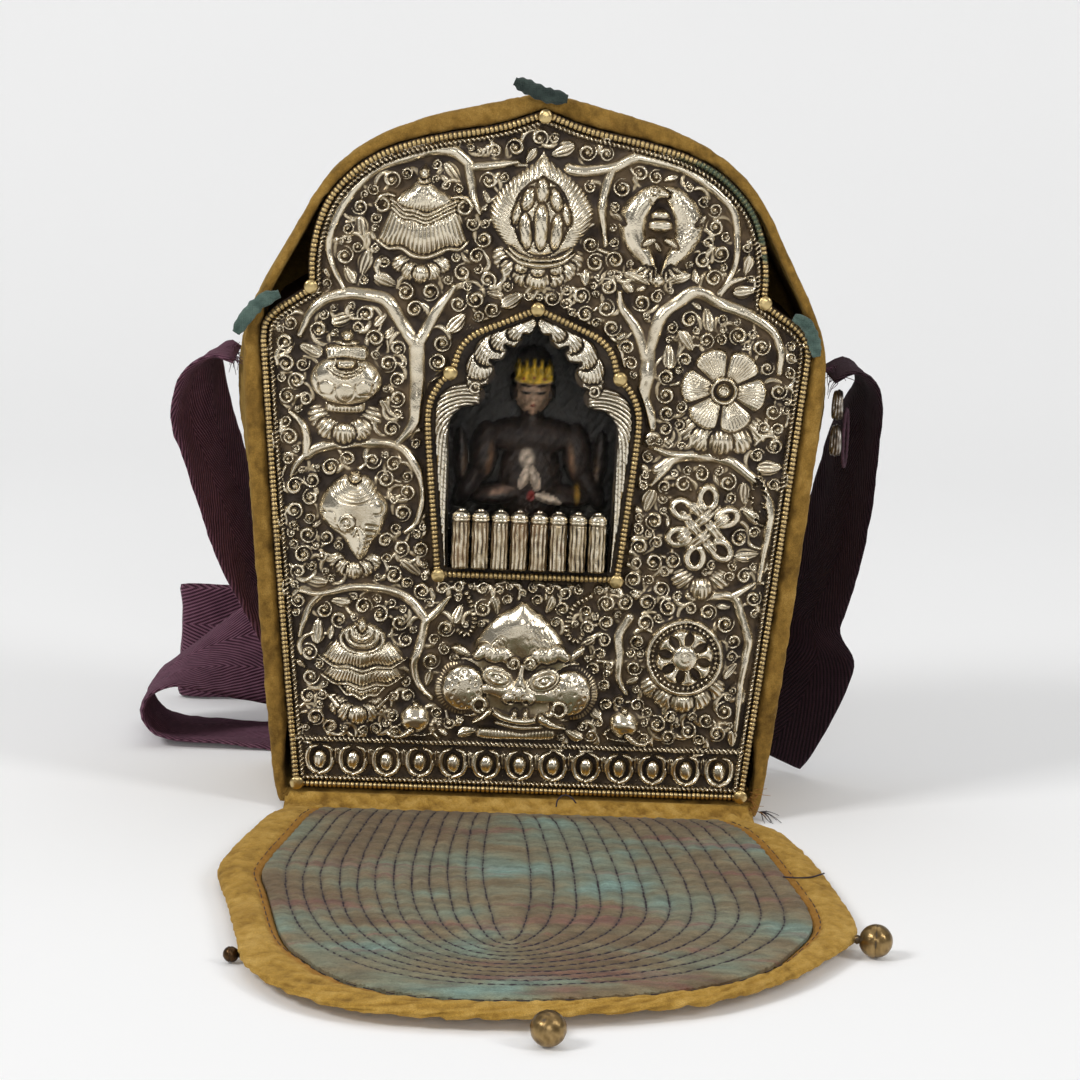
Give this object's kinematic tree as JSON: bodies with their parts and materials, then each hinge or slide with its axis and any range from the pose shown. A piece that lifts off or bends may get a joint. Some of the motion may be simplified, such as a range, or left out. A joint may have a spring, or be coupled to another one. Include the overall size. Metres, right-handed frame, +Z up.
{
  "type": "portable shrine",
  "caption": "Portable gau shrine: hollow arched metal box with an embossed silver front and a glazed window, in a velvet case with a hinged flap and webbing straps.",
  "frame": {"origin": "middle of the case's underside, on the table", "axes": "+Z up, -Y out of the silver front, +X to the right of someone facing the front; the flap lies open on the table towards -Y"},
  "size_m": [0.2377, 0.3984, 0.2314],
  "materials": {
    "case_velvet": "worn ochre velvet",
    "binding_velvet": "worn ochre velvet, folded edge",
    "copper_sheet": "darkened sheet copper",
    "embossed_silver": "embossed silver with dark patina in the hollows",
    "arch_silver": "embossed silver with dark patina in the hollows",
    "beaded_brass": "dull beaded wire",
    "brass_rivet": "rubbed dome heads",
    "pillar_silver": "ribbed, dark patina in the grooves",
    "window_glass": "clear",
    "painted_clay": "dark painted clay with worn colours",
    "dark_teal_cloth": "plain woven cloth",
    "teal_cloth": "plain woven cloth",
    "fold_velvet": "worn ochre velvet",
    "flap_velvet": "worn ochre velvet",
    "quilted_lining": "faded, hand-quilted cloth",
    "brass_ball": "dull brass",
    "plum_webbing": "herringbone webbing",
    "short_webbing": "herringbone webbing, cut end",
    "ring_metal": "tarnished wire coils",
    "plum_cord": "thin twisted cord"
  },
  "bodies": {
    "shrine": {"velvet_case": "case_velvet", "case_binding": "binding_velvet", "gau_box": "copper_sheet", "silver_front": "embossed_silver", "window_arch": "arch_silver", "outer_bead_wire": "beaded_brass", "window_bead_wire": "beaded_brass", "rivet_apex": "brass_rivet", "rivet_notch_left": "brass_rivet", "rivet_notch_right": "brass_rivet", "rivet_corner_left": "brass_rivet", "rivet_corner_right": "brass_rivet", "rivet_window_upper_left": "brass_rivet", "rivet_window_upper_right": "brass_rivet", "rivet_window_sill_left": "brass_rivet", "rivet_window_sill_right": "brass_rivet", "rivet_window_top": "brass_rivet", "sill_pillar_1": "pillar_silver", "sill_pillar_2": "pillar_silver", "sill_pillar_3": "pillar_silver", "sill_pillar_4": "pillar_silver", "sill_pillar_5": "pillar_silver", "sill_pillar_6": "pillar_silver", "sill_pillar_7": "pillar_silver", "sill_pillar_8": "pillar_silver", "window_glass": "window_glass", "figure_tablet": "painted_clay", "button_loop_top": "dark_teal_cloth", "button_loop_left": "teal_cloth", "button_loop_right": "teal_cloth", "flap_fold": "fold_velvet", "strap_left": "plum_webbing", "strap_right": "short_webbing", "side_ring_upper": "ring_metal", "side_ring_lower": "ring_metal", "ring_cord": "plum_cord"},
    "flap": {"flap_cover": "flap_velvet", "flap_lining": "quilted_lining", "ball_button_left": "brass_ball", "ball_button_right": "brass_ball", "ball_button_front": "brass_ball"}
  },
  "joints": [
    {"name": "flap_hinge", "type": "hinge", "parent": "shrine", "child": "flap", "pos_m": [0, -0.0455, 0.0025], "axis": [-1, 0, 0], "range_deg": [0, 90]}
  ]
}
